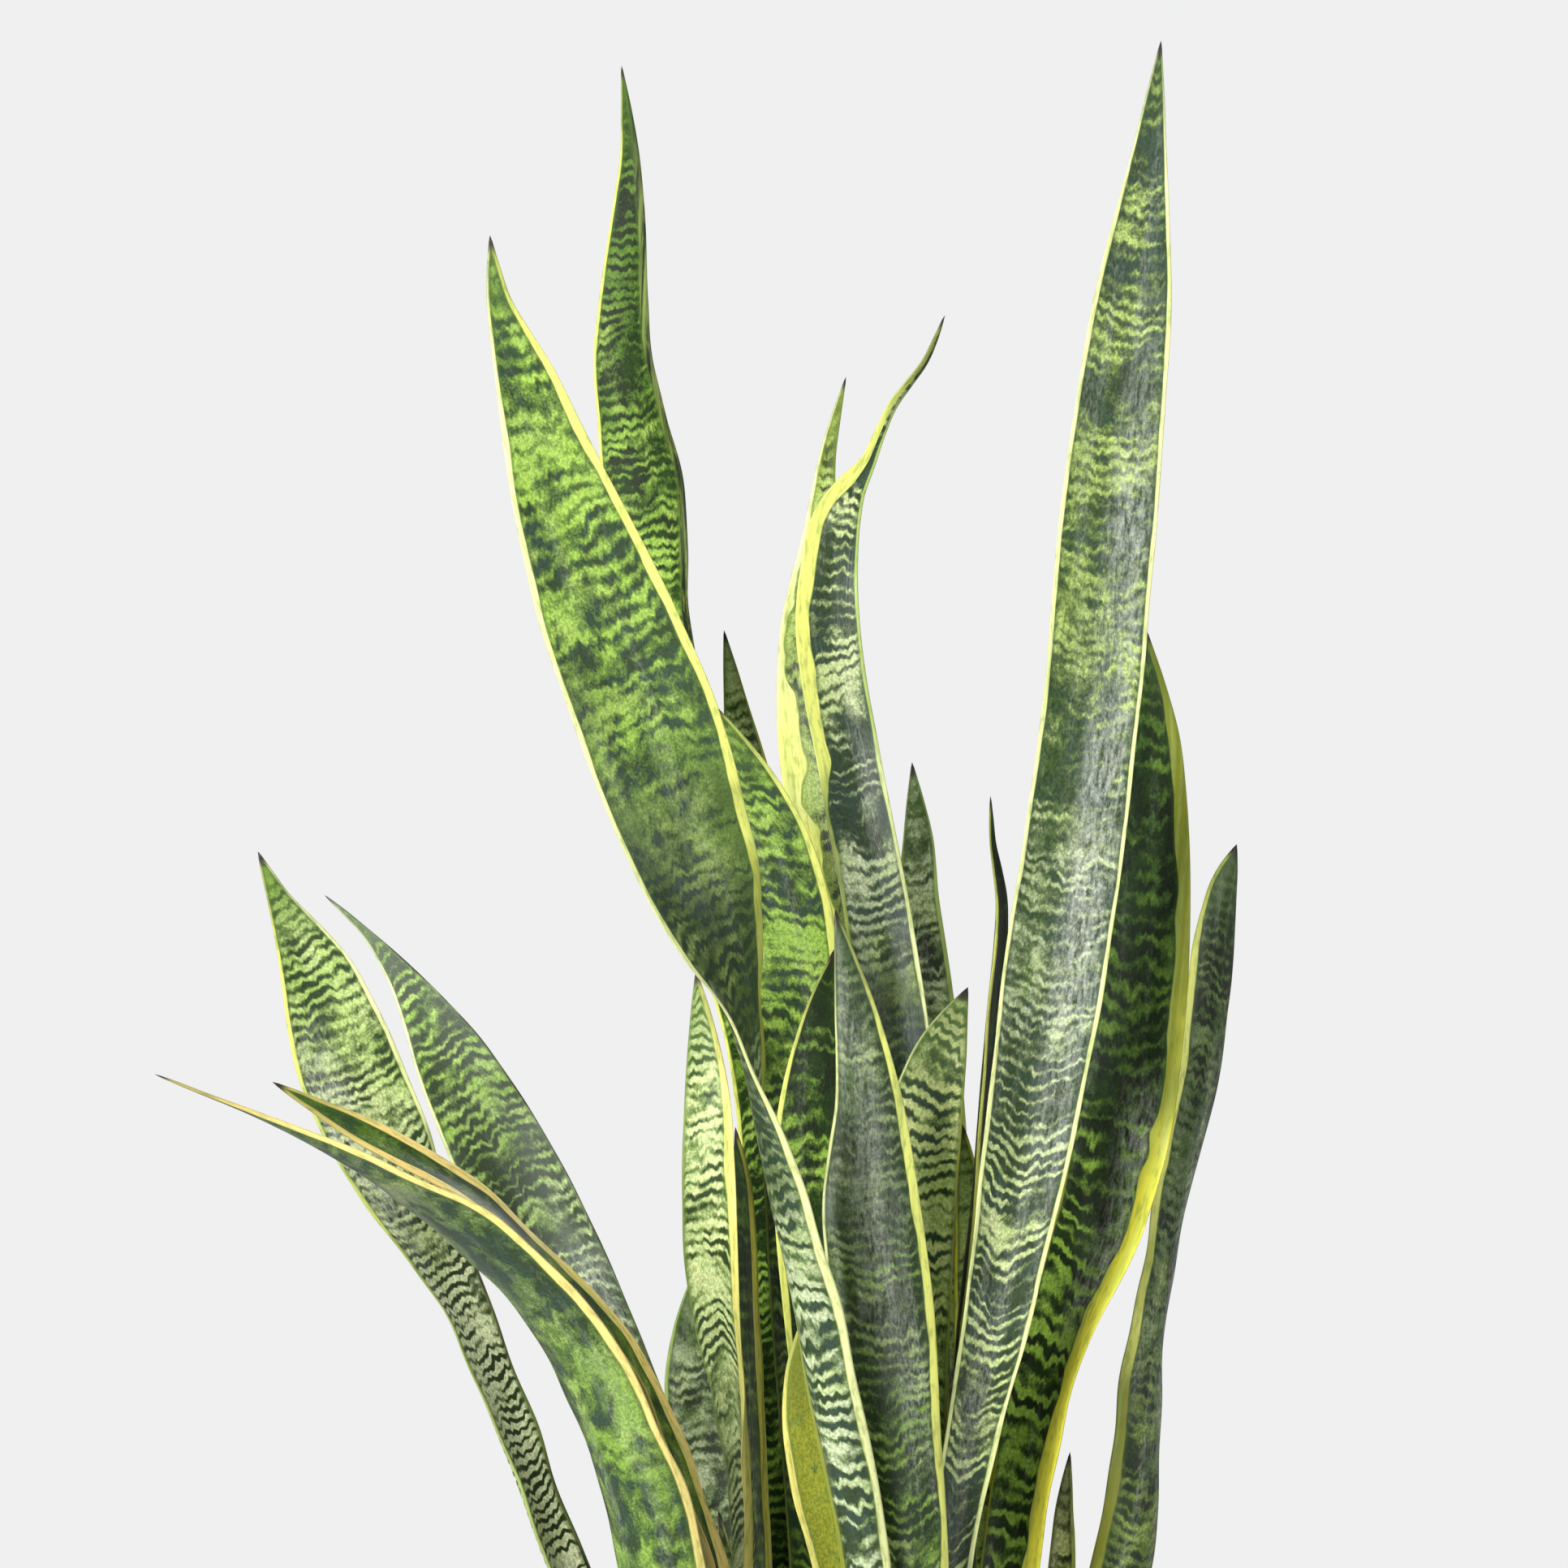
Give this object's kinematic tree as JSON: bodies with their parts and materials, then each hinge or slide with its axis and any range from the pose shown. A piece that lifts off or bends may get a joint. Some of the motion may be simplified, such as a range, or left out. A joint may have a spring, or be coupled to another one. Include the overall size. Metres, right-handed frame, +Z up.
{
  "type": "potted snake plant",
  "caption": "Potted snake plant: a clump of tall, strap-like upright leaves, cross-banded green with pale yellow margins, in soil in a plain round tapered clay pot.",
  "frame": {"origin": "centre of the pot's flat underside, which stands on the floor or a table", "axes": "+Z up along the pot's axis and the leaves; -Y towards the side the clump is mainly seen from; +X to the right from that side"},
  "size_m": [0.5626, 0.388, 1.186],
  "materials": {
    "leaf": "satin",
    "leaf_shade": "satin",
    "leaf_gold": "satin",
    "pot": "matte",
    "soil": "matte",
    "rhizome": "matte"
  },
  "bodies": {
    "root": {"leaf_right_tall": "leaf", "leaf_left_tall": "leaf", "leaf_back_tall": "leaf", "leaf_back_tip": "leaf_shade", "leaf_behind_broad": "leaf", "leaf_centre_short": "leaf", "leaf_front_centre": "leaf", "leaf_centre_curl": "leaf", "leaf_centre_gold": "leaf_gold", "leaf_right_of_centre": "leaf", "leaf_right_dark": "leaf_shade", "leaf_right_sliver": "leaf_shade", "leaf_right_edgewise": "leaf_shade", "leaf_right_second": "leaf_shade", "leaf_far_right": "leaf_shade", "leaf_right_pup": "leaf_shade", "leaf_left_narrow": "leaf", "leaf_left_behind": "leaf", "leaf_left_pup": "leaf_shade", "leaf_left_mid": "leaf_shade", "leaf_centre_gold_short": "leaf_gold", "leaf_left_inner": "leaf", "leaf_far_left": "leaf", "leaf_arching_low": "leaf", "leaf_arching_folded": "leaf", "pot": "pot", "soil": "soil", "rhizome_front": "rhizome", "rhizome_left_front": "rhizome", "rhizome_middle": "rhizome", "rhizome_back": "rhizome", "rhizome_rear": "rhizome"}
  },
  "joints": []
}
